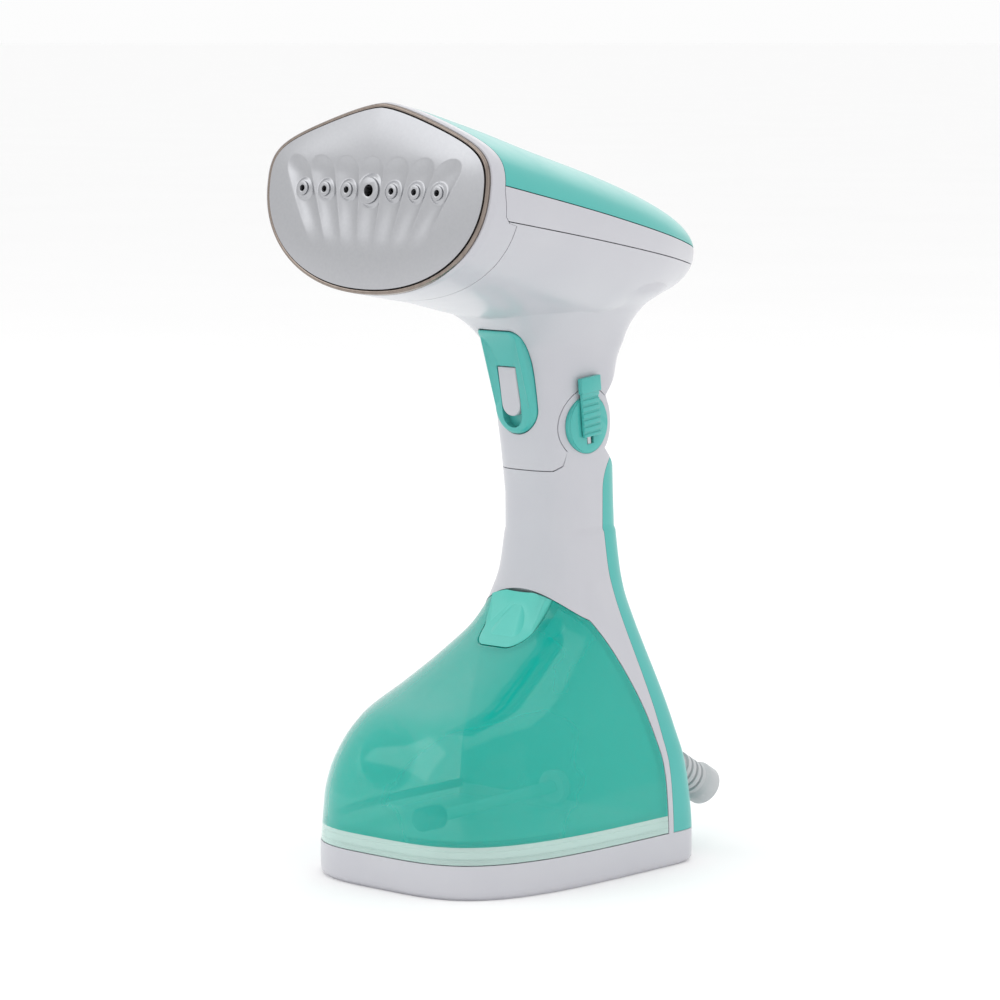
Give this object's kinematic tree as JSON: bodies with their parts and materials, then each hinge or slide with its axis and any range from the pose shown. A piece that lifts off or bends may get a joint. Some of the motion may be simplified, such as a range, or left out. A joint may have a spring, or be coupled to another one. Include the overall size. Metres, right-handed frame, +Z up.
{
  "type": "garment steamer",
  "caption": "Folding hand-held garment steamer with a metal steam plate, hinged neck, sprung trigger, thumb locks and a removable clear water tank in a flared foot",
  "frame": {"origin": "centre of the foot's underside, on the plane the steamer stands on", "axes": "+Z up through the handle, -Y to the front where the steam plate and the water tank face, +X to the side with the fold lock"},
  "size_m": [0.115, 0.169, 0.2897],
  "materials": {
    "white_plastic": "glossy",
    "grey_plastic": "matte",
    "teal_plastic": "glossy",
    "clear_teal": "clear",
    "clear_plastic": "clear",
    "black_plastic": "matte",
    "plate_metal": "satin",
    "cast_metal": "cast",
    "trim_metal": "satin",
    "steel": "plain",
    "copper_coil": "enamelled",
    "seal_rubber": "matte",
    "dark_rubber": "matte",
    "hose_rubber": "satin",
    "ceramic_sleeve": "sleeve"
  },
  "bodies": {
    "handle": {"handle_shell": "white_plastic", "foot_plate": "grey_plastic", "rubber_feet": "dark_rubber", "foot_screws": "steel", "back_cover": "teal_plastic", "hinge_fork": "grey_plastic", "hinge_pin": "steel", "hinge_disc_right": "teal_plastic", "hinge_disc_left": "teal_plastic", "lock_spring": "steel", "pump_body": "white_plastic", "pump_coil": "copper_coil", "pump_bracket": "grey_plastic", "valve_seat": "white_plastic", "valve_seal": "seal_rubber", "inlet_hose": "hose_rubber", "outlet_hose": "hose_rubber", "cord_guard": "grey_plastic", "cord_clamp": "black_plastic", "terminal_block": "grey_plastic"},
    "lock": {"lock_slider": "teal_plastic"},
    "head": {"nozzle_housing": "white_plastic", "face_plate": "plate_metal", "trim_ring": "trim_metal", "steam_jets": "steel", "top_cover": "teal_plastic", "cover_band": "white_plastic", "head_shell": "white_plastic", "hinge_barrel": "white_plastic", "heater_block": "cast_metal", "heating_element": "steel", "chamber_cover": "steel", "chamber_gasket": "seal_rubber", "thermostat": "black_plastic", "thermal_fuse": "ceramic_sleeve", "heater_screws": "steel", "steam_pipe": "hose_rubber", "trigger_pin": "steel", "trigger_spring": "steel", "microswitch": "black_plastic"},
    "trigger": {"trigger": "teal_plastic", "trigger_lever": "teal_plastic"},
    "steam_lock": {"steam_lock": "white_plastic"},
    "tank": {"tank_shell": "clear_teal", "tank_cover": "clear_plastic", "tank_seal": "seal_rubber", "tank_valve": "white_plastic", "pickup_tube": "clear_plastic", "tank_filter": "dark_rubber", "latch_spring": "steel"},
    "latch": {"tank_latch": "teal_plastic"},
    "plug": {"filler_plug": "dark_rubber", "plug_seal": "seal_rubber"}
  },
  "joints": [
    {"name": "fold_hinge", "type": "hinge", "parent": "handle", "child": "head", "pos_m": [0, 0.034, 0.167], "axis": [-1, 0, 0], "range_deg": [0, 90]},
    {"name": "fold_lock_slide", "type": "slide", "parent": "handle", "child": "lock", "axis": [0, 0.1045, -0.9945], "range_m": [0, 0.004], "stiffness_N_per_m": 200, "springref_m": -0.002, "deforming": ["lock_spring"]},
    {"name": "trigger_hinge", "type": "hinge", "parent": "head", "child": "trigger", "pos_m": [0, 0.0115, 0.2065], "axis": [1, 0, 0], "range_deg": [0, 5], "stiffness_Nm_per_rad": 0.8, "springref_deg": -3.44},
    {"name": "steam_lock_slide", "type": "slide", "parent": "trigger", "child": "steam_lock", "axis": [0, 0.1668, -0.986], "range_m": [0, 0.004]},
    {"name": "tank_slide", "type": "slide", "parent": "handle", "child": "tank", "axis": [0, -1, 0], "range_m": [0, 0.08]},
    {"name": "tank_latch_press", "type": "slide", "parent": "tank", "child": "latch", "axis": [0, 1, 0], "range_m": [0, 0.0018], "stiffness_N_per_m": 400, "springref_m": -0.002, "deforming": ["latch_spring"]},
    {"name": "filler_plug_slide", "type": "slide", "parent": "tank", "child": "plug", "axis": [-1, 0, 0], "range_m": [0, 0.016]}
  ]
}
